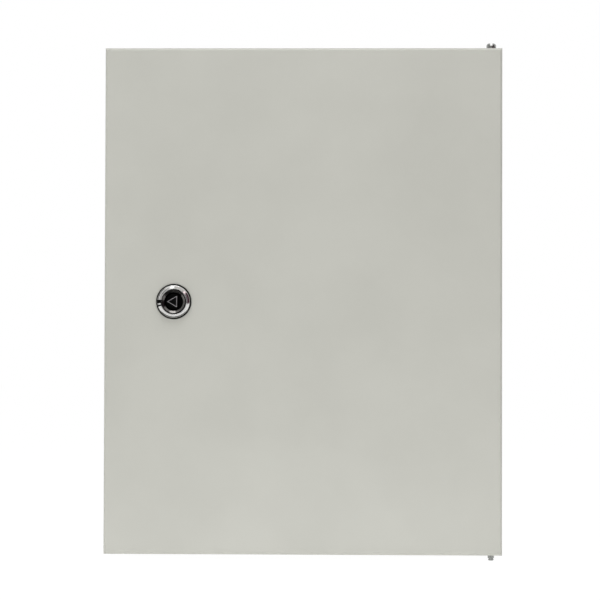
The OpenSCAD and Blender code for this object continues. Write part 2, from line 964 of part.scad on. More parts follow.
// Cam: a tongue that points down when it is free and to the door's edge when it is latched
module lock_cam() {
    hub_r = cam_w / 2 + cam_hub_rim;
    tip_r = cam_w / 4;
    color("silver")
        translate([lock_x, 0, lock_z])
            along_y(cam_y, cam_y + cam_t)
                difference() {
                    union() {
                        circle(hub_r);
                        translate([-cam_w / 2, -cam_reach + tip_r])
                            square([cam_w, cam_reach - tip_r]);
                        translate([-cam_w / 2 + tip_r, -cam_reach])
                            square([cam_w - 2 * tip_r, cam_reach]);
                        for (sx = [-1, 1])
                            translate([sx * (cam_w / 2 - tip_r), -cam_reach + tip_r])
                                circle(tip_r);
                    }
                    square(square_w, center = true);
                }
}

module cam_washer() {
    color("silver")
        translate([lock_x, 0, lock_z])
            face_front(cam_y + cam_t + cam_washer_t)
                washer(cam_thread * wide_washer_share, cam_thread, cam_washer_t);
}

module cam_screw() {
    head_y = cam_y + cam_t + cam_washer_t;
    color("silver")
        translate([lock_x, 0, lock_z]) {
            face_front(head_y + cam_head_h)
                hex_nut(cam_head_w, cam_head_h, 0);
            rod_y(cam_thread, cam_y + cam_t - cam_screw_l + screw_gap, head_y + eps);
        }
}

body_wrap();
top_panel();
bottom_panel();
upper_hinge_bracket();
lower_hinge_bracket();
upper_hinge_pin();
lower_hinge_pin();
hinge_washers();
hinge_nut();
plate_studs();
plate_spacers();
mounting_plate();
plate_washers();
plate_nuts();
gland_gasket();
gland_plate();
gland_studs();
gland_nuts();
cable_grommets();
earth_stud();
earth_washer();
earth_nut();
door_panel();
door_gasket();
door_earth_stud();
door_earth_washer();
door_earth_nut();
lock_seal();
lock_housing();
lock_nut();
lock_rotor();
lock_o_ring();
lock_cam();
cam_washer();
cam_screw();
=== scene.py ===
import json
import math

import bpy
import numpy as np
from mathutils import Matrix, Vector


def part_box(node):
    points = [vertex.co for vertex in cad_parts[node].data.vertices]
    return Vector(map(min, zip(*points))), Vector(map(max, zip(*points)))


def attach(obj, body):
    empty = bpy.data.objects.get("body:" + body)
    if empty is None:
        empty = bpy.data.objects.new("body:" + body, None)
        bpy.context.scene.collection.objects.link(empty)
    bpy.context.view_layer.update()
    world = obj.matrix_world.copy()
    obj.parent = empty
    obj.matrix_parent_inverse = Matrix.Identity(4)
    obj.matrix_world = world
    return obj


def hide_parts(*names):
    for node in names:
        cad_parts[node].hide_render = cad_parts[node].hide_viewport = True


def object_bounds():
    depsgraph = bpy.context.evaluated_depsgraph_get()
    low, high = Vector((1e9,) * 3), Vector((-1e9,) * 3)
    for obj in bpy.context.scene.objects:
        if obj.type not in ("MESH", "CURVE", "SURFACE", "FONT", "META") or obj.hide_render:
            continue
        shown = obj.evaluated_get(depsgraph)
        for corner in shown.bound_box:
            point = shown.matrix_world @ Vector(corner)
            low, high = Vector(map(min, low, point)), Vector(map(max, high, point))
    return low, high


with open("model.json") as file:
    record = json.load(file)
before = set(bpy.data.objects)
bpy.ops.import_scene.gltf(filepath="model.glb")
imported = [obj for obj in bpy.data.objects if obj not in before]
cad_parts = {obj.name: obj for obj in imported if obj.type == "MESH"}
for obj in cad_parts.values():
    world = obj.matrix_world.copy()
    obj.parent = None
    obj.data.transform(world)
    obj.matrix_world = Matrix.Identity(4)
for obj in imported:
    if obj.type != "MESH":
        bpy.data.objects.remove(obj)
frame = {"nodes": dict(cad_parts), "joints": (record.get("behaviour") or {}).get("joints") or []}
cadBox = [list(corner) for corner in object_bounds()]
mm = 0.001
lockAxis = next(j for j in frame["joints"] if j["name"] == "lock_turn")["pos_m"]
lockX, doorFront, lockZ = lockAxis


# Camera: a long lens a little below the door's middle
camera = {
    "place": (0.0495, -2.22, -0.0515),  # metres from the centre of the wall holes
    "turnLeft": 1.483,                  # degrees
    "tiltUp": 1.491,
    "roll": 0.161,
    "lens": 154.2, "sensor": 36,        # millimetres
    "clip": (0.1, 60),                  # nearest and farthest thing drawn, metres
}


def turned(axis, degrees):
    # Rotation matrix about one axis
    return Matrix.Rotation(math.radians(degrees), 3, axis)


def makeCamera(s):
    # Looks along +Y, rolls about its own view, tilts up, then turns left
    data = bpy.data.cameras.new("camera")
    data.sensor_width, data.lens = s["sensor"], s["lens"]
    data.clip_start, data.clip_end = s["clip"]
    view = bpy.data.objects.new("camera", data)
    view.location = s["place"]
    turn = turned("Z", s["turnLeft"]) @ turned("X", s["tiltUp"] + 90) @ turned("Z", s["roll"])
    view.rotation_euler = turn.to_euler("XYZ")
    bpy.context.collection.objects.link(view)
    bpy.context.scene.camera = view


makeCamera(camera)
bpy.context.scene.view_settings.view_transform = "Standard"
print("camera placed")


# Node and colour helpers
def linear(code):
    # sRGB hex to linear: c / 12.92 up to 0.04045, above it ((c + 0.055) / 1.055) to the power 2.4
    c = np.array([int(code[i:i + 2], 16) for i in (1, 3, 5)]) / 255
    low, high = c / 12.92, ((c + 0.055) / 1.055) ** 2.4
    return (*np.where(c <= 0.04045, low, high).tolist(), 1.0)


def addNode(tree, kind, own=None, sockets=None, links=None, stops=()):
    # Adds a node, sets its own settings and its sockets, and links outputs into it; stops are the
    # places and colours of a colour ramp's two ends
    node = tree.nodes.new(kind)
    for k, (position, colour) in enumerate(stops):
        node.color_ramp.elements[k].position = position
        node.color_ramp.elements[k].color = colour
    for key, value in (own or {}).items():
        setattr(node, key, value)
    for key, value in (sockets or {}).items():
        node.inputs[key].default_value = value
    for key, output in (links or {}).items():
        tree.links.new(output, node.inputs[key])
    return node


def startMaterial(name, shaderSockets):
    # A Principled shader whose fixed values sit on its own sockets, with Object coordinates ready
    material = bpy.data.materials.new(name)
    material.use_nodes = True
    tree = material.node_tree
    tree.nodes.clear()
    place = addNode(tree, "ShaderNodeTexCoord").outputs["Object"]
    shader = addNode(tree, "ShaderNodeBsdfPrincipled", sockets=shaderSockets)
    addNode(tree, "ShaderNodeOutputMaterial", links={"Surface": shader.outputs["BSDF"]})
    return material, tree, place, shader


def grey(value):
    # A plain grey for ramps that drive a number
    return (value, value, value, 1.0)


# Textured polyester powder coat, sprayed and stoved: an even warm light grey, satin, with the
# soft bumps of orange peel that break up reflections
powderCoat = {
    "light": "#CACAC2", "dark": "#C6C6BE",
    "roughness": 0.46,
    "peel": 1.9 * mm,      # size of one bump of the texture
    "peelDepth": 0.05 * mm,
    "grain": 0.75 * mm,    # the finer bumps between them, a third as deep
    "cloud": 70 * mm,      # slow changes of tone over the sheet
}


def makePowderCoat(s):
    # Tone follows a slow noise; two bumps of different size lie over each other
    material, tree, place, shader = startMaterial(
        "powderCoat", {"Roughness": s["roughness"], "IOR": 1.5})
    cloud = addNode(tree, "ShaderNodeTexNoise", sockets={"Scale": 1 / s["cloud"], "Detail": 3.0},
                    links={"Vector": place})
    tint = addNode(tree, "ShaderNodeValToRGB", links={"Fac": cloud.outputs["Fac"]},
                   stops=((0.35, linear(s["dark"])), (0.65, linear(s["light"]))))
    tree.links.new(tint.outputs["Color"], shader.inputs["Base Color"])
    peel = addNode(tree, "ShaderNodeTexNoise", sockets={"Scale": 1 / s["peel"], "Detail": 1.0},
                   links={"Vector": place})
    grain = addNode(tree, "ShaderNodeTexNoise", sockets={"Scale": 1 / s["grain"], "Detail": 2.0},
                    links={"Vector": place})
    coarse = addNode(tree, "ShaderNodeBump", sockets={"Strength": 1.0, "Distance": s["peelDepth"]},
                     links={"Height": peel.outputs["Fac"]})
    fine = addNode(tree, "ShaderNodeBump", sockets={"Strength": 1.0, "Distance": s["peelDepth"] / 3},
                   links={"Height": grain.outputs["Fac"], "Normal": coarse.outputs["Normal"]})
    tree.links.new(fine.outputs["Normal"], shader.inputs["Normal"])
    return material


# Hot-dip galvanised sheet: grey spangles of different tone, each a crystal of zinc
galvanised = {"light": "#BDC1C3", "dark": "#A7ABAE", "roughness": (0.34, 0.5), "spangle": 11 * mm,
              "depth": 0.01 * mm}


def makeGalvanised(s):
    # Cells round scattered points, their borders bent by noise; each has its own tone and polish
    material, tree, place, shader = startMaterial("galvanisedSteel", {"Metallic": 1.0})
    warp = addNode(tree, "ShaderNodeTexNoise", sockets={"Scale": 1 / s["spangle"], "Detail": 2.0},
                   links={"Vector": place})
    bend = addNode(tree, "ShaderNodeVectorMath", own={"operation": "MULTIPLY_ADD"},
                   sockets={1: (s["spangle"] * 0.5,) * 3}, links={0: warp.outputs["Color"], 2: place})
    cells = addNode(tree, "ShaderNodeTexVoronoi", sockets={"Scale": 1 / s["spangle"]},
                    links={"Vector": bend.outputs["Vector"]})
    tone = addNode(tree, "ShaderNodeSeparateColor", links={"Color": cells.outputs["Color"]})
    tint = addNode(tree, "ShaderNodeValToRGB", links={"Fac": tone.outputs["Red"]},
                   stops=((0.0, linear(s["dark"])), (1.0, linear(s["light"]))))
    tree.links.new(tint.outputs["Color"], shader.inputs["Base Color"])
    polish = addNode(tree, "ShaderNodeValToRGB", links={"Fac": tone.outputs["Green"]},
                   stops=((0.0, grey(s["roughness"][0])), (1.0, grey(s["roughness"][1]))))
    tree.links.new(polish.outputs["Color"], shader.inputs["Roughness"])
    bump = addNode(tree, "ShaderNodeBump", sockets={"Strength": 1.0, "Distance": s["depth"]},
                   links={"Height": cells.outputs["Distance"]})
    tree.links.new(bump.outputs["Normal"], shader.inputs["Normal"])
    return material


# Bright zinc plating on turned and rolled fasteners: pale grey metal with fine rolling scratches
zincPlated = {"light": "#B4B5B2", "dark": "#8A8C89", "roughness": (0.2, 0.36), "cloud": 6 * mm,
              "scratch": 0.5 * mm, "depth": 0.004 * mm}


def makeZincPlated(s):
    # Tone follows a coarse noise, polish and bump a fine one
    material, tree, place, shader = startMaterial("zincPlatedSteel", {"Metallic": 1.0})
    cloud = addNode(tree, "ShaderNodeTexNoise", sockets={"Scale": 1 / s["cloud"], "Detail": 4.0},
                    links={"Vector": place})
    fine = addNode(tree, "ShaderNodeTexNoise", sockets={"Scale": 1 / s["scratch"], "Detail": 3.0},
                   links={"Vector": place})
    tint = addNode(tree, "ShaderNodeValToRGB", links={"Fac": cloud.outputs["Fac"]},
                   stops=((0.3, linear(s["dark"])), (0.7, linear(s["light"]))))
    tree.links.new(tint.outputs["Color"], shader.inputs["Base Color"])
    polish = addNode(tree, "ShaderNodeValToRGB", links={"Fac": fine.outputs["Fac"]},
                   stops=((0.35, grey(s["roughness"][0])), (0.65, grey(s["roughness"][1]))))
    tree.links.new(polish.outputs["Color"], shader.inputs["Roughness"])
    bump = addNode(tree, "ShaderNodeBump", sockets={"Strength": 0.6, "Distance": s["depth"]},
                   links={"Height": fine.outputs["Fac"]})
    tree.links.new(bump.outputs["Normal"], shader.inputs["Normal"])
    return material


# Chrome plate over a polished zinc die casting: near mirror, with faint turning rings round the
# lock's axis, spaced wider than real ones so that they show
chromePlate = {"light": "#DCDCDA", "dark": "#C8C8C6", "roughness": (0.07, 0.15), "ring": 0.55 * mm,
               "ringDepth": 0.01 * mm, "smear": 2.2 * mm}


def makeChrome(s):
    # Tone and bump follow rings round the lock's axis, a wave of pi / 10 per unit of scale
    material, tree, place, shader = startMaterial("chromePlatedCasting", {"Metallic": 1.0})
    centred = addNode(tree, "ShaderNodeMapping", sockets={"Location": (-lockX, 0, -lockZ)},
                      links={"Vector": place})
    rings = addNode(tree, "ShaderNodeTexWave",
                    own={"wave_type": "RINGS", "rings_direction": "Y", "wave_profile": "SIN"},
                    sockets={"Scale": 0.314 / s["ring"], "Distortion": 0.6, "Detail": 1.0,
                             "Detail Scale": 0.6},
                    links={"Vector": centred.outputs["Vector"]})
    tint = addNode(tree, "ShaderNodeValToRGB", links={"Fac": rings.outputs["Fac"]},
                   stops=((0.2, linear(s["dark"])), (0.8, linear(s["light"]))))
    tree.links.new(tint.outputs["Color"], shader.inputs["Base Color"])
    smear = addNode(tree, "ShaderNodeTexNoise", sockets={"Scale": 1 / s["smear"], "Detail": 3.0},
                    links={"Vector": place})
    polish = addNode(tree, "ShaderNodeValToRGB", links={"Fac": smear.outputs["Fac"]},
                   stops=((0.35, grey(s["roughness"][0])), (0.65, grey(s["roughness"][1]))))
    tree.links.new(polish.outputs["Color"], shader.inputs["Roughness"])
    bump = addNode(tree, "ShaderNodeBump", sockets={"Strength": 0.5, "Distance": s["ringDepth"]},
                   links={"Height": rings.outputs["Fac"]})
    tree.links.new(bump.outputs["Normal"], shader.inputs["Normal"])
    return material


# Black stoving paint on a zinc die casting: deep black with a soft sheen and a fine cast skin
blackCoat = {"light": "#090909", "dark": "#050505", "roughness": 0.34, "grain": 0.6 * mm, "gloss": 0.05}
# The same casting where the turning tool has cut a countersink: dark pewter, polished
baredEdge = {"light": "#747270", "dark": "#5E5C5A", "roughness": 0.22, "grain": 0.8 * mm, "gloss": 0.5}
# The driving triangle's edges, where keys have rubbed the paint thin: dull dark grey, light enough to be a
# painted highlight along the edges as well
rubbedEdgeAndHighlight = {"light": "#A3A0A2", "dark": "#838082", "roughness": 0.5, "grain": 0.8 * mm, "gloss": 0.3}
# Moulded black rubber: matt, very dark grey, with a faint bloom
blackRubber = {"light": "#121212", "dark": "#0B0B0B", "roughness": 0.6, "grain": 0.5 * mm, "gloss": 0.25}
# Foamed-in-place polyurethane: dark grey skin with small open pores
foamSeal = {"light": "#3A3A3C", "dark": "#2A2A2C", "roughness": 0.85, "grain": 1.1 * mm, "gloss": 0.3}
# Natural nylon, turned: milky white with a slight gloss
naturalNylon = {"light": "#E6E5DC", "dark": "#DAD9CF", "roughness": 0.42, "grain": 0.9 * mm, "gloss": 0.5}


def makeGrained(name, s, metallic=0.0, depth=0.02 * mm):
    # One tone that drifts slightly, with a fine grain in the same place as its bump
    material, tree, place, shader = startMaterial(
        name, {"Roughness": s["roughness"], "Metallic": metallic, "Specular IOR Level": s["gloss"]})
    cloud = addNode(tree, "ShaderNodeTexNoise", sockets={"Scale": 0.12 / s["grain"], "Detail": 4.0},
                    links={"Vector": place})
    tint = addNode(tree, "ShaderNodeValToRGB", links={"Fac": cloud.outputs["Fac"]},
                   stops=((0.35, linear(s["dark"])), (0.65, linear(s["light"]))))
    tree.links.new(tint.outputs["Color"], shader.inputs["Base Color"])
    grain = addNode(tree, "ShaderNodeTexNoise", sockets={"Scale": 1 / s["grain"], "Detail": 2.0},
                    links={"Vector": place})
    bump = addNode(tree, "ShaderNodeBump", sockets={"Strength": 1.0, "Distance": depth},
                   links={"Height": grain.outputs["Fac"]})
    tree.links.new(bump.outputs["Normal"], shader.inputs["Normal"])
    return material


finishes = {
    "powder_coat": makePowderCoat(powderCoat),
    "galvanised": makeGalvanised(galvanised),
    "zinc_plate": makeZincPlated(zincPlated),
    "nylon": makeGrained("naturalNylon", naturalNylon),
    "foam_seal": makeGrained("polyurethaneFoam", foamSeal, depth=0.12 * mm),
    "rubber": makeGrained("mouldedRubber", blackRubber),
    "chrome_plate": makeChrome(chromePlate),
    "black_rotor": makeGrained("blackStovedCasting", blackCoat, depth=0.012 * mm),
}
baredFinish = makeGrained("baredCastingEdge", baredEdge, metallic=1.0, depth=0.006 * mm)
# The triangle's bevel: rubbed paint, and a painted highlight along its edges
rubbedAndHighlightFinish = makeGrained("rubbedCastingEdge", rubbedEdgeAndHighlight, metallic=0.5, depth=0.01 * mm)
for cadNode in frame["nodes"].values():
    for part in cadNode.material_slots:
        part.material = finishes[part.material.name.split(".")[0]]
print("finishes on", len(frame["nodes"]), "CAD nodes")


# Surfaces as grids of points
def gridFaces(rows, columns, rowsClosed, columnsClosed, capped):
    # Each face joins four neighbours of the grid; a closed direction joins its last line to its
    # first; a cap joins the first and the last row each to one extra point
    i, j = np.meshgrid(np.arange(rows if rowsClosed else rows - 1),
                       np.arange(columns if columnsClosed else columns - 1), indexing="ij")
    i, j = i.ravel(), j.ravel()
    down, right = (i + 1) % rows, (j + 1) % columns
    quads = np.stack([i * columns + j, down * columns + j, down * columns + right, i * columns + right], 1)
    if not capped:
        return quads, np.zeros((0, 3), int)
    k = np.arange(columns)
    after = (k + 1) % columns
    first, last = rows * columns, rows * columns + 1
    start = np.stack([np.full(columns, first), k, after], 1)
    end = np.stack([np.full(columns, last), (rows - 1) * columns + after, (rows - 1) * columns + k], 1)
    return quads, np.concatenate([start, end])


def gridShell(points, rowsClosed=False, columnsClosed=True, capped=False):
    # Vertices and faces of one closed shell, turned outwards by the sign of the volume inside it
    rows, columns = points.shape[:2]
    vertices = points.reshape(-1, 3)
    if capped:
        vertices = np.concatenate([vertices, points[:1].mean(1), points[-1:].mean(1)])
    quads, fans = gridFaces(rows, columns, rowsClosed, columnsClosed, capped)
    corners = np.concatenate([quads[:, [0, 1, 2]], quads[:, [0, 2, 3]], fans])
    a, b, c = (vertices[corners[:, k]] - vertices.mean(0) for k in range(3))
    if np.einsum("ij,ij->i", a, np.cross(b, c)).sum() < 0:
        quads, fans = quads[:, ::-1], fans[:, ::-1]
    return vertices, quads, fans


def makePiece(name, shells, body, slot, replaced=(), material=None, sharp=35):
    # Puts one or more shells into a mesh at the origin that moves with a body
    vertices, faces, offset = [], [], 0
    for shell, quads, fans in shells:
        vertices.append(shell)
        faces += (quads + offset).tolist() + (fans + offset).tolist()
        offset += len(shell)
    mesh = bpy.data.meshes.new(name)
    mesh.from_pydata(np.concatenate(vertices).tolist(), [], faces)
    mesh.polygons.foreach_set("use_smooth", np.ones(len(mesh.polygons), bool))
    mesh.set_sharp_from_angle(angle=math.radians(sharp))
    mesh.materials.append(material or finishes[slot])
    piece = bpy.data.objects.new(name, mesh)
    bpy.context.collection.objects.link(piece)
    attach(piece, body)
    if replaced:
        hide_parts(*replaced)
    return piece


def turnedGrid(radius, along, angle, centre, axis="Y"):
    # Point = centre + radius turned by angle + distance along the axis; the arrays broadcast
    radius, along, angle = np.broadcast_arrays(radius, along, angle)
    a, b = radius * np.cos(angle), radius * np.sin(angle)
    parts = {"Y": (a, along, b), "Z": (a, b, along)}[axis]
    return np.stack(parts, -1) + np.asarray(centre)


def softened(corners, size, steps=4):
    # Rounds each corner of a closed outline with a quadratic curve that starts size before it,
    # or less where the side is short
    p = np.asarray(corners, float)
    before, after = np.roll(p, 1, 0) - p, np.roll(p, -1, 0) - p
    lengthBefore, lengthAfter = np.linalg.norm(before, axis=1), np.linalg.norm(after, axis=1)
    reach = np.minimum(size, 0.45 * np.minimum(lengthBefore, lengthAfter))
    start = p + before * (reach / lengthBefore)[:, None]
    end = p + after * (reach / lengthAfter)[:, None]
    t = np.linspace(0, 1, steps)[None, :, None]
    curve = (1 - t) ** 2 * start[:, None] + 2 * t * (1 - t) * p[:, None] + t ** 2 * end[:, None]
    return curve.reshape(-1, 2)


def fullTurn(count):
    # Angles of one turn without the repeated last one
    return np.arange(count) * 2 * np.pi / count


# Threads: rolled metric threads on studs and on the lock's barrel
def threadedRod(centre, diameter, pitch, start, end, axis="Y", perTurn=36, perPitch=8, flats=None, bore=()):
    # Radius falls from the crest by a rounded saw that climbs one pitch a turn; it fades in over
    # the first thread and is cut to a cone at the end; two flats, if any, limit it further, and
    # a bore, given as radii and places from the end back to the start, makes it a tube
    length = abs(end - start)
    rows = max(8, int(length / pitch * perPitch))
    t = np.linspace(0, 1, rows)[:, None]
    angle = fullTurn(perTurn)[None, :]
    depth = 0.61 * pitch
    phase = (t * length / pitch - angle / (2 * np.pi)) % 1
    groove = np.clip(1.15 - np.abs(phase - 0.5) * 2.6, 0, 1)
    tip = np.clip((1 - t) * length / (0.8 * pitch), 0, 1)
    radius = diameter / 2 - depth * groove * np.clip(t * length / pitch, 0, 1)
    radius = np.minimum(radius, diameter / 2 - depth * (1 - tip))
    if flats:
        radius = np.minimum(radius, flats / 2 / np.maximum(np.abs(np.sin(angle)), 1e-6))
    along = start + (end - start) * t
    outside = turnedGrid(radius, along, angle, centre, axis)
    if not bore:
        return gridShell(outside, capped=True)
    line = np.array(bore)
    inside = turnedGrid(line[:, :1], line[:, 1:], angle, centre, axis)
    return gridShell(np.concatenate([outside, inside]), rowsClosed=True)


def cornersOf(low, high, radius):
    # Axes of round pieces that fill the corners of a node's box, as X and Z
    return [(x, z) for x in (low[0] + radius, high[0] - radius) for z in (low[2] + radius, high[2] - radius)]


studs = {  # radius and pitch
    "plate": (4 * mm, 1.25 * mm),
    "gland": (2.5 * mm, 0.8 * mm),
    "earthPitch": 1.0 * mm,
}


def makeStuds(s):
    # Every stud is threaded from the sheet that it is welded to up to its free end
    low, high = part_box("plate_studs")
    radius, pitch = s["plate"]
    shells = [threadedRod((x, 0, z), 2 * radius, pitch, high[1], low[1])
              for x, z in cornersOf(low, high, radius)]
    makePiece("plateStudThreads", shells, "case", "zinc_plate", ["plate_studs"])
    for name, node, body, root, end in (("earthStudThread", "earth_stud", "case", 1, 0),
                                        ("doorEarthStudThread", "door_earth_stud", "door", 0, 1)):
        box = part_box(node)
        middle = (box[0] + box[1]) / 2
        rod = threadedRod((middle[0], 0, middle[2]), box[1][0] - box[0][0], s["earthPitch"],
                          box[root][1], box[end][1])
        makePiece(name, [rod], body, "zinc_plate", [node])
    low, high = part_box("gland_studs")
    radius, pitch = s["gland"]
    xs = (low[0] + radius, (low[0] + high[0]) / 2, high[0] - radius)
    ys = (low[1] + radius, high[1] - radius)
    shells = [threadedRod((x, y, 0), 2 * radius, pitch, low[2], high[2], "Z") for x in xs for y in ys]
    makePiece("glandStudThreads", shells, "case", "zinc_plate", ["gland_studs"])


makeStuds(studs)
print("threads cut")


# Foam seals: closed strips between an outer and an inner rounded rectangle
def roundedPath(halfWidth, halfHeight, radius, perSide, perCorner):
    # Walks the sides with straight steps and the corners with arcs, the same count on every path
    corners = [(1, 1, 0), (-1, 1, 90), (-1, -1, 180), (1, -1, 270)]
    lines = []
    for k, (sx, sy, base) in enumerate(corners):
        angle = np.radians(base + np.linspace(0, 90, perCorner))
        arc = np.stack([sx * (halfWidth - radius) + radius * np.cos(angle),
                        sy * (halfHeight - radius) + radius * np.sin(angle)], 1)
        nx, ny, nextBase = corners[(k + 1) % 4]
        turn = math.radians(nextBase)
        goal = np.array([nx * (halfWidth - radius) + radius * math.cos(turn),
                         ny * (halfHeight - radius) + radius * math.sin(turn)])
        share = np.linspace(0, 1, perSide + 2)[1:-1, None]
        lines += [arc, arc[-1] * (1 - share) + goal * share]
    return np.concatenate(lines)


doorSeal = {
    "width": 12 * mm, "innerRadius": 2.0 * mm, "outerRadius": 12 * mm,
    "crown": 0.62,          # how round the poured bead is across its width
    "print": 0.9 * mm, "printWidth": 1.1 * mm,  # the line that the body's lip has pressed
    "ripple": 0.12 * mm, "ripples": (23, 37),   # unevenness of the pour, two waves so many times round
    "overlap": 0.5 * mm, "overlapAt": 4.6,      # swelling where the pour's end meets its start, radians
    "overlapLength": 0.02,
    "side": 0.03,           # the bead's top stands in from its foot by this share of the width
}


def makeDoorSeal(s):
    # Height over the door = full height x square root of (1 - far to the fifth) x (1 - half of
    # (1 - crown) x far squared), far being 0 in the middle and 1 at the sides, less the pressed
    # line, plus a slow ripple along the bead and a swelling at the overlap
    low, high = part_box("door_gasket")
    halfW, halfH = (high[0] - low[0]) / 2, (high[2] - low[2]) / 2
    width = s["width"]
    outer = roundedPath(halfW, halfH, s["outerRadius"], 90, 10)
    inner = roundedPath(halfW - width, halfH - width, s["innerRadius"], 90, 10)
    across = np.linspace(0, 1, 25)[None, :]
    far = np.abs(across * 2 - 1)
    rise = (1 - far ** 5) ** 0.5 * (1 - (1 - s["crown"]) * far ** 2 * 0.5)
    step = np.arange(len(outer))[:, None] / len(outer) * 2 * np.pi
    slow, quick = s["ripples"]
    ripple = s["ripple"] * (np.sin(slow * step) + np.sin(quick * step + 1.3)) / 2
    swelling = s["overlap"] * np.exp(-((step - s["overlapAt"]) / s["overlapLength"]) ** 2)
    pressed = s["print"] * np.exp(-((far * width / 2) / s["printWidth"]) ** 2)
    full = high[1] - low[1]
    height = np.clip((full - s["ripple"] - s["overlap"] + ripple + swelling) * rise - pressed, 0, full)
    side = (across * (1 - 2 * s["side"]) + s["side"]) + 0 * step
    top = outer[:, None] * (1 - side[..., None]) + inner[:, None] * side[..., None]
    points = np.stack([top[..., 0], low[1] + height, top[..., 1]], -1)
    base = np.stack([outer, inner], 1)[:, ::-1]
    under = np.stack([base[..., 0], np.full(base.shape[:2], low[1]), base[..., 1]], -1)
    ring = np.concatenate([points, under], 1)
    shell = gridShell(ring, rowsClosed=True)
    seal = makePiece("pouredDoorSeal", [shell], "door", "foam_seal", ["door_gasket"], sharp=60)


glandSeal = {"width": 14 * mm, "innerRadius": 6 * mm, "outerRadius": 13 * mm, "squeeze": 0.45 * mm}


def makeGlandSeal(s):
    # A flat strip whose two cut sides bow out in the middle where the plate squeezes it
    low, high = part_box("gland_gasket")
    middle = (low + high) / 2
    halfW, halfD = (high[0] - low[0]) / 2, (high[1] - low[1]) / 2
    width = s["width"]
    outer = roundedPath(halfW, halfD, s["outerRadius"], 40, 8)
    inner = roundedPath(halfW - width, halfD - width, s["innerRadius"], 40, 8)
    t = np.linspace(-1, 1, 9)
    inset = s["squeeze"] / width * t ** 2
    side = np.concatenate([inset, (1 - inset)[::-1]])
    up = np.concatenate([t, t[::-1]]) * (high[2] - low[2]) / 2
    flat = outer[:, None] * (1 - side[None, :, None]) + inner[:, None] * side[None, :, None]
    points = np.stack([flat[..., 0] + middle[0], flat[..., 1] + middle[1],
                       np.broadcast_to(middle[2] + up, flat.shape[:2])], -1)
    shell = gridShell(points, rowsClosed=True)
    seal = makePiece("glandSealStrip", [shell], "case", "foam_seal", ["gland_gasket"])


makeDoorSeal(doorSeal)
makeGlandSeal(glandSeal)
print("foam seals poured")


# Moulded rubber: cable grommets and the lock's seal
grommet = {
    "bore": 4 * mm, "hole": 14 * mm,  # radii of the cable's hole and of the plate's hole
    "sleeve": (1.5 * mm, 2 * mm),     # wall of the cable's sleeve at its end and at its root
    "rim": 2.5 * mm,                  # wall inside the plate's hole
    "lipDepth": 2.2 * mm, "lipSlope": (1.4 * mm, 0.8 * mm), "lipInset": 1 * mm,
    "round": 0.5 * mm,
}


def makeGrommets(s):
    # A closed section of membrane, sleeve, rim and lips with soft edges, turned about each hole's axis
    low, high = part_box("cable_grommets")
    plateLow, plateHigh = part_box("gland_plate")[0][2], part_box("gland_plate")[1][2]
    middle = (low + high) / 2
    reach = (high[1] - low[1]) / 2
    lip, hole, bore = reach - s["lipInset"], s["hole"], s["bore"]
    rim, tip, root = hole - s["rim"], bore + s["sleeve"][0], bore + s["sleeve"][1]
    slope, rise = s["lipSlope"]
    lipLow = plateLow - s["lipDepth"]
    section = [
        (bore, low[2]), (tip, low[2]), (root, plateLow), (rim, plateLow), (rim, lipLow),
        (lip - slope, lipLow), (lip, plateLow - rise), (lip, plateLow), (hole, plateLow), (hole, plateHigh),
        (reach, plateHigh), (reach, high[2] - slope), (reach - slope, high[2]),
        (rim, high[2]), (rim, plateHigh), (root, plateHigh), (root, high[2]), (bore, high[2])]
    outline = softened(section, s["round"])
    xs = (low[0] + reach, middle[0], high[0] - reach)
    shells = [gridShell(turnedGrid(outline[:, :1], outline[:, 1:], fullTurn(72)[None, :],
                                   (x, middle[1], 0), "Z"), rowsClosed=True) for x in xs]
    makePiece("mouldedGrommets", shells, "case", "rubber", ["cable_grommets"])


lockSeal = {"inner": 11.25 * mm, "round": 0.35 * mm}


def makeLockSeal(s):
    # A flat rubber ring with round edges
    low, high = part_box("lock_seal")
    outer = (high[0] - low[0]) / 2
    outline = softened([(s["inner"], low[1]), (outer, low[1]), (outer, high[1]), (s["inner"], high[1])],
                       s["round"])
    ring = turnedGrid(outline[:, :1], outline[:, 1:], fullTurn(96)[None, :], (lockX, 0, lockZ))
    makePiece("lockSealRing", [gridShell(ring, rowsClosed=True)], "door", "rubber", ["lock_seal"])


makeGrommets(grommet)
makeLockSeal(lockSeal)
print("rubber moulded")


# The lock: chrome flange on a threaded barrel, black rotor with its driving triangle
flange = {
    "hole": 9.9 * mm, "innerEdge": 0.2 * mm,
    "tilt": (6.0, 36.0), "rimRound": 1.0 * mm,  # the face leans back from the hole to the rim, degrees
    "line": (10.9 * mm, 0.3 * mm, 0.1 * mm),    # radius, width and depth of the turned line
    "notches": ((180.0, 2.7 * mm, 1.85 * mm), (196.0, 1.2 * mm, 1.85 * mm)),  # degrees, width, depth
    "unpainted": 0.12 * mm,                     # the notches' black filling stops this far below the face
    "foot": 10.6 * mm,                          # the ring's inner radius where it rests on the seal
    "thread": (22 * mm, 1.5 * mm), "flats": 20 * mm,  # the barrel's diameter, pitch and flats
    "bearing": 8.58 * mm,
}


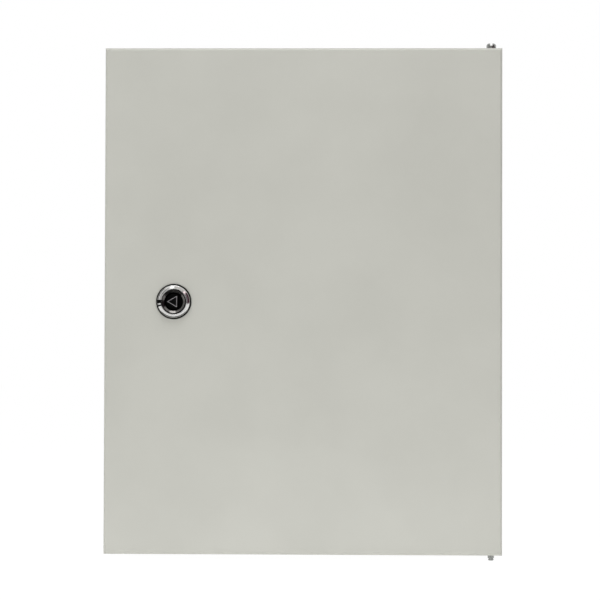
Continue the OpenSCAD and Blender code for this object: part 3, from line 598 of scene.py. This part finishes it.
def flangeFace(s, outer):
    # Slope grows evenly from the hole to the rim, depth is the sum of its tangents, then an arc
    # finishes the rim; the turned line adds its own depth
    lineR, lineW, lineD = s["line"]
    leanIn, leanOut = np.radians(s["tilt"])
    start, end = s["hole"] + s["innerEdge"], outer - s["rimRound"] * (1 - math.sin(leanOut))
    lineEdges = lineR + lineW * np.array([-0.5, -0.3, 0.3, 0.5])
    radius = np.sort(np.concatenate([np.linspace(start, end, 14), lineEdges]))
    slope = np.tan(leanIn + (leanOut - leanIn) * (radius - start) / (end - start))
    depth = np.concatenate([[0], np.cumsum((slope[1:] + slope[:-1]) / 2 * np.diff(radius))])
    bend = np.linspace(leanOut, np.pi / 2, 10)[1:]
    arcR = outer - s["rimRound"] * (1 - np.sin(bend))
    arcDepth = depth[-1] + s["rimRound"] * (math.cos(leanOut) - np.cos(bend))
    depth = depth + np.where(np.abs(radius - lineR) < 0.35 * lineW, lineD, 0)
    return np.concatenate([radius, arcR]), np.concatenate([depth, arcDepth])


def flangeAngles(notches, radius):
    # Even angles plus, for each notch, four lines along its two walls; a wall keeps its distance
    # from the notch's middle line, so its angle, arcsine of distance over radius, changes with the radius
    base = np.radians(np.arange(0, 360, 2.0))
    columns, cut = [], []
    for middle, width, depth in notches:
        base = base[np.abs(base - math.radians(middle)) > 0.62 * width / radius.min()]
    for angle in base:
        columns.append(np.full_like(radius, angle))
        cut.append(0.0)
    for middle, width, depth in notches:
        for side, gap, drop in ((-1, 0.02, 0.0), (-1, 0, depth), (1, 0, depth), (1, 0.02, 0.0)):
            half = width / 2 + gap * mm
            columns.append(math.radians(middle) + side * np.arcsin(half / radius))
            cut.append(drop)
    order = np.argsort([c[0] for c in columns])
    return np.stack([columns[k] for k in order], 1), np.array([cut[k] for k in order])[None, :]


def makeFlange(s):
    # Ring section: hole, soft inner edge, leaning face, rim and back, turned about the lock's axis;
    # inside a notch no point stands in front of the notch's floor
    low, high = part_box("lock_housing")
    outer = (high[0] - low[0]) / 2
    front, back = low[1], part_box("lock_seal")[0][1]
    edge = s["innerEdge"]
    faceR, faceDepth = flangeFace(s, outer)
    soft = np.radians(np.linspace(0, 90, 4))[:-1]
    radius = np.concatenate([[s["hole"]] * 4, s["hole"] + edge * (1 - np.cos(soft[1:])), faceR,
                             [outer, outer - edge, s["foot"]]])
    along = np.concatenate([np.linspace(back + 0.6 * mm, front + edge, 4),
                            front + edge * (1 - np.sin(soft[1:])),
                            front + faceDepth, [back - edge, back, back]])
    angle, cut = flangeAngles(s["notches"], radius)
    along = np.maximum(along[:, None], np.where(cut > 0, front + cut, front))
    ring = gridShell(turnedGrid(radius[:, None], along, angle, (lockX, 0, lockZ)), rowsClosed=True)
    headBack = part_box("lock_seal")[1][1] - 0.3 * mm
    start = back - 0.05 * mm
    bore = ((s["bearing"], high[1]), (s["bearing"], headBack), (s["hole"], headBack), (s["hole"], start))
    diameter, pitch = s["thread"]
    barrel = threadedRod((lockX, 0, lockZ), diameter, pitch, start, high[1],
                         perTurn=96, flats=s["flats"], bore=bore)
    makePiece("chromedFlange", [ring], "door", "chrome_plate", ["lock_housing"], sharp=28)
    makePiece("lockBarrelThread", [barrel], "door", "chrome_plate", sharp=28)
    # Black filling: the notch's floor below, the face's own line a little lower above
    bars = []
    for middle, width, depth in s["notches"]:
        inside = faceDepth + s["unpainted"] < depth
        topR, topY = faceR[inside], front + faceDepth[inside] + s["unpainted"]
        sectionR = np.concatenate([[s["hole"] + 0.03 * mm] * 2, topR, [topR[-1]]])
        sectionY = np.concatenate([[front + depth, topY[0]], topY, [front + depth]])
        side = np.array([-1, 1])[:, None] * np.arcsin((width / 2 - 0.02 * mm) / sectionR[None, :])
        bars.append(gridShell(turnedGrid(sectionR[None, :], sectionY[None, :], math.radians(middle) + side,
                                         (lockX, 0, lockZ)), capped=True))
    # Black bars fill both notches from their floor to just under the face
    makePiece("notchPaint", bars, "door", "black_rotor")


rotor = {
    "rim": 8.9 * mm, "chamfer": (7.4 * mm, 1.25 * mm),  # the countersink's outer radius, then inner and depth
    "sink": 2.0 * mm, "well": 7.3 * mm, "wellDepth": 8 * mm, "wellRound": 1.6 * mm,
    "round": 0.15 * mm, "bare": 0.02 * mm,              # edges, and how far bared metal stands over the paint
    "triangle": 7.8 * mm, "recess": 0.8 * mm, "bevel": 0.5 * mm, "cornerRound": 0.6 * mm,
    "bearingStep": 1 * mm, "square": 8 * mm, "squareRound": 0.6 * mm,
}


def prism(outlines, places):
    # Carries outlines in the XZ plane along the lock's axis, one for each place
    return gridShell(np.stack([np.stack([lockX + p[:, 0], np.full(len(p), y), lockZ + p[:, 1]], -1)
                               for p, y in zip(outlines, places)]), capped=True)


def makeRotor(s):
    # One turned outline from the well's middle over the rim to the bearing, and the square
    low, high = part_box("lock_rotor")
    front, head = low[1], (high[0] - low[0]) / 2
    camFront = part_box("lock_cam")[0][1]
    floor = front + s["wellDepth"]
    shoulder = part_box("lock_seal")[1][1] - 0.5 * mm
    bearing = head - s["bearingStep"]
    chamferR, chamferDepth = s["chamfer"]
    bend = np.radians(np.linspace(0, 90, 7))
    well = np.stack([s["well"] - s["wellRound"] * (1 - np.sin(bend)),
                     floor - s["wellRound"] * (1 - np.cos(bend))], 1)
    rest = softened([
        (s["well"], front + s["sink"]), (chamferR, front + chamferDepth), (s["rim"], front), (head, front),
        (head, shoulder), (bearing, shoulder), (bearing, camFront), (0.02 * mm, camFront)], s["round"])
    outline = np.concatenate([[(0.02 * mm, floor)], well, rest[:-4], [(0.02 * mm, camFront)]])
    turn = fullTurn(96)[None, :]
    body = gridShell(turnedGrid(outline[:, :1], outline[:, 1:], turn, (lockX, 0, lockZ)), rowsClosed=True)
    half = s["square"] / 2
    square = softened([(half, half), (-half, half), (-half, -half), (half, -half)], s["squareRound"])
    spigot = prism([square, square, square * 0.94], [camFront - 0.2 * mm, high[1] - 0.3 * mm, high[1]])
    makePiece("rotorCasting", [body, spigot], "lock", "black_rotor", ["lock_rotor"])
    # The countersink's bared ring lies just over the black casting
    out = s["bare"]
    ringLine = np.array([(chamferR, front + chamferDepth), (s["rim"], front),
                         (s["rim"] - out, front - out), (chamferR - out, front + chamferDepth - out)])
    ring = gridShell(turnedGrid(ringLine[:, :1], ringLine[:, 1:], turn, (lockX, 0, lockZ)), rowsClosed=True)
    makePiece("countersinkRing", [ring], "lock", "black_rotor", material=baredFinish)
    # The triangle: rounded corners carried along the axis, with a bared bevel at its end whose light grey is
    # also a painted highlight
    corner = s["triangle"] * 2 / 3
    points = [(corner * math.cos(math.radians(a)), corner * math.sin(math.radians(a))) for a in (180, 300, 60)]
    base = softened(points, s["cornerRound"], 6)
    inner = base * (1 - s["bevel"] / (corner / 2))
    top = front + s["recess"]
    edge = top + s["bevel"] * 0.6
    makePiece("drivingTriangle", [prism([base, base], [floor, edge]),
                                  prism([inner * 0.998] * 2, [top + 0.1 * mm, top - s["bare"]])],
              "lock", "black_rotor")
    makePiece("triangleBevel", [prism([base, inner], [edge, top])], "lock", "black_rotor",
              material=rubbedAndHighlightFinish)


makeFlange(flange)
makeRotor(rotor)
print("lock built")


# Stage: a white floor that keeps a faint shadow, cards that only reflections see, lamps
stage = {
    "floor": 30.0, "drop": 0.2 * mm,          # the floor's side in metres, and how far it lies under the object
    "glow": 0.96, "shade": "#666666",         # what the camera sees: its own light and what takes the shadow
    "bounce": "#E4E4E2", "lift": 0.3,         # what lights the object: reflected and own light
    "sky": 0.30,
}


def lightPathMix(tree, seen, felt):
    # What the camera, mirrors and glass see is one shader, what diffuse light meets is another
    path = addNode(tree, "ShaderNodeLightPath")
    either = addNode(tree, "ShaderNodeMath", own={"operation": "MAXIMUM"},
                     links={0: path.outputs["Is Camera Ray"], 1: path.outputs["Is Glossy Ray"]})
    anyOf = addNode(tree, "ShaderNodeMath", own={"operation": "MAXIMUM"},
                    links={0: either.outputs["Value"], 1: path.outputs["Is Transmission Ray"]})
    mix = addNode(tree, "ShaderNodeMixShader", links={"Fac": anyOf.outputs["Value"]})
    tree.links.new(felt, mix.inputs[1])
    tree.links.new(seen, mix.inputs[2])
    return mix.outputs["Shader"]


def emptyMaterial(name):
    # A material with nothing in it yet
    material = bpy.data.materials.new(name)
    material.use_nodes = True
    material.node_tree.nodes.clear()
    return material, material.node_tree


def stageSheet(name, points, faces, material):
    # One flat sheet that isn't part of the object
    mesh = bpy.data.meshes.new(name)
    mesh.from_pydata(np.asarray(points, float).tolist(), [], np.asarray(faces).tolist())
    mesh.materials.append(material)
    sheet = bpy.data.objects.new(name, mesh)
    bpy.context.collection.objects.link(sheet)
    return sheet


def makeFloor(s):
    # Glow plus a grey diffuse that only lamps light; from below it is clear
    half, level = s["floor"] / 2, cadBox[0][2] - s["drop"]
    material, tree = emptyMaterial("paleFloor")
    glow = addNode(tree, "ShaderNodeEmission", sockets={"Color": grey(1.0), "Strength": s["glow"]})
    shade = addNode(tree, "ShaderNodeBsdfDiffuse", sockets={"Color": linear(s["shade"])})
    both = addNode(tree, "ShaderNodeAddShader", links={0: glow.outputs["Emission"], 1: shade.outputs["BSDF"]})
    bounce = addNode(tree, "ShaderNodeBsdfDiffuse", sockets={"Color": linear(s["bounce"])})
    lift = addNode(tree, "ShaderNodeEmission", sockets={"Color": grey(1.0), "Strength": s["lift"]})
    felt = addNode(tree, "ShaderNodeAddShader", links={0: bounce.outputs["BSDF"], 1: lift.outputs["Emission"]})
    above = lightPathMix(tree, both.outputs["Shader"], felt.outputs["Shader"])
    clear = addNode(tree, "ShaderNodeBsdfTransparent")
    mix = addNode(tree, "ShaderNodeMixShader",
                  links={"Fac": addNode(tree, "ShaderNodeNewGeometry").outputs["Backfacing"]})
    tree.links.new(above, mix.inputs[1])
    tree.links.new(clear.outputs["BSDF"], mix.inputs[2])
    addNode(tree, "ShaderNodeOutputMaterial", links={"Surface": mix.outputs["Shader"]})
    corners = [(-half, -half, level), (half, -half, level), (half, half, level), (-half, half, level)]
    stageSheet("floor", corners, [(0, 1, 2, 3)], material)


def makeWorld(s):
    # White to the camera and in reflections, an even dim light on the object
    world = bpy.data.worlds.new("world")
    bpy.context.scene.world = world
    world.use_nodes = True
    tree = world.node_tree
    tree.nodes.clear()
    seen = addNode(tree, "ShaderNodeBackground", sockets={"Color": grey(1.0), "Strength": 1.0})
    felt = addNode(tree, "ShaderNodeBackground", sockets={"Color": grey(1.0), "Strength": s["sky"]})
    addNode(tree, "ShaderNodeOutputWorld",
            links={"Surface": lightPathMix(tree, seen.outputs["Background"], felt.outputs["Background"])})


lamps = {  # place, aim, width and height in metres, share of the light on a sheet that faces it
    "leftSide": ((-1.5, -0.6, -0.05), (-0.12, -0.22, -0.08), (0.6, 0.8), 0.18),
    "leftFill": ((-0.9, -1.5, -0.05), (-0.12, -0.22, -0.15), (0.5, 0.3), 0.03),
    "topStrip": ((-0.02, -0.6, 1.15), (0, -0.22, 0.2), (0.9, 0.5), 0.68),
    "lowStrip": ((0.1, -0.9, -0.16), (0.02, -0.22, -0.18), (1.3, 0.06), 0.235),
    "rightSoft": ((1.4, -0.7, 0.3), (0.15, -0.2, 0), (0.6, 0.8), 0.02),
}


def makeLamps(table):
    # Power = share x pi squared x distance squared, which lights a facing white sheet to that share;
    # polished metal sees the cards instead of the lamps
    for name, (place, aim, size, share) in table.items():
        data = bpy.data.lights.new(name, "AREA")
        data.shape = "RECTANGLE"
        data.size, data.size_y = size
        away = Vector(place) - Vector(aim)
        data.energy = share * math.pi ** 2 * away.length_squared
        lamp = bpy.data.objects.new(name, data)
        lamp.location = place
        lamp.rotation_euler = away.to_track_quat("Z", "Y").to_euler()
        lamp.visible_camera = lamp.visible_glossy = False
        bpy.context.collection.objects.link(lamp)


cardLean = (-0.075, 0.026)  # the cards' middle moves this much right and up for each metre forward
cardSteps = 13              # points along a card's arc
cards = {  # distance before the lock, inner and outer radius in metres, from and to in degrees, tone, strength
    "cardCentre": (1.2, 0.001, 0.13, 0, 360, "#0A0A0A", 1.0),
    "cardGreyRight": (1.2, 0.13, 1.1, -9, 33, "#6E666A", 1.0),
    "cardPlumRight": (1.2, 1.1, 3.2, -9, 40, "#4A2A38", 1.0),
    "cardSpotUnder": (1.2, 0.3, 0.8, 31, 36, "#2C1A24", 1.0),
    "cardGlintRight": (1.2, 0.4, 1.7, 37, 45, "#FFE9EE", 1.8),
    "cardSpotOver": (1.2, 0.3, 0.8, 46, 51, "#3A2A34", 1.0),
    "cardPaleRight": (1.25, 0.1, 2.8, 33, 89, "#DAD8D6", 1.0),
    "cardDarkRight": (0.4, 1.0, 5.0, -8, 34, "#33222B", 1.0),
    "cardGlintTop": (1.2, 0.1, 2.2, 90, 105, "#FFFFFF", 2.4),
    "cardPaleLeft": (1.25, 0.1, 1.35, 107, 180, "#C6C4C2", 1.0),
    "cardShadeLeft": (1.2, 0.13, 1.0, 122, 148, "#8E8C8A", 1.0),
    "cardDarkLeft": (0.4, 0.7, 2.3, 125, 225, "#181818", 1.0),
    "cardWindowRight": (0.4, 1.2, 3.0, -62, -9, "#FFF8FA", 5.0),
    "cardWindowTop": (0.4, 1.4, 5.0, 74, 104, "#FFFFFF", 6.0),
}


floorCards = {  # least X and Y, most X and Y, height over the floor, tone, strength, what meets it
    "cardFloor": ((-0.40, -0.36), (0.20, -0.25), 0.0010, "#121212", 1.0, "glossy"),
    "cardBounce": ((-0.22, -0.34), (0.32, -0.228), 0.0004, "#FFFFFF", 1.2, "diffuse"),  # lifts the door's foot
}


def cardSheet(name, points, faces, tone, strength, metBy="glossy"):
    # A glowing sheet that only glossy or only diffuse rays meet
    material, tree = emptyMaterial(name)
    glow = addNode(tree, "ShaderNodeEmission", sockets={"Color": linear(tone), "Strength": strength})
    addNode(tree, "ShaderNodeOutputMaterial", links={"Surface": glow.outputs["Emission"]})
    card = stageSheet(name, points, faces, material)
    card.visible_camera = card.visible_shadow = card.visible_transmission = False
    card.visible_glossy = metBy == "glossy"
    card.visible_diffuse = metBy == "diffuse"


def makeCards(table, lowTable):
    # Cards that stand in for a room seen in polished metal: a piece of a ring about the lock's
    # axis, in a plane before the door, that only glossy rays meet; the low ones are rectangles
    for name, (distance, inner, outer, start, end, tone, strength) in table.items():
        angle = np.radians(np.linspace(start, end, cardSteps))[None, :]
        centre = (lockX + cardLean[0] * distance, doorFront - distance, lockZ + cardLean[1] * distance)
        ring = turnedGrid(np.array([[inner], [outer]]), 0, angle, centre)
        quads = gridFaces(2, cardSteps, False, False, False)[0]
        cardSheet(name, ring.reshape(-1, 3), quads, tone, strength)
    for name, ((x0, y0), (x1, y1), height, tone, strength, metBy) in lowTable.items():
        z = cadBox[0][2] + height
        corners = [(x0, y0, z), (x1, y0, z), (x1, y1, z), (x0, y1, z)]
        cardSheet(name, corners, [(0, 1, 2, 3)], tone, strength, metBy)


makeFloor(stage)
makeWorld(stage)
makeLamps(lamps)
makeCards(cards, floorCards)
print("stage lit")
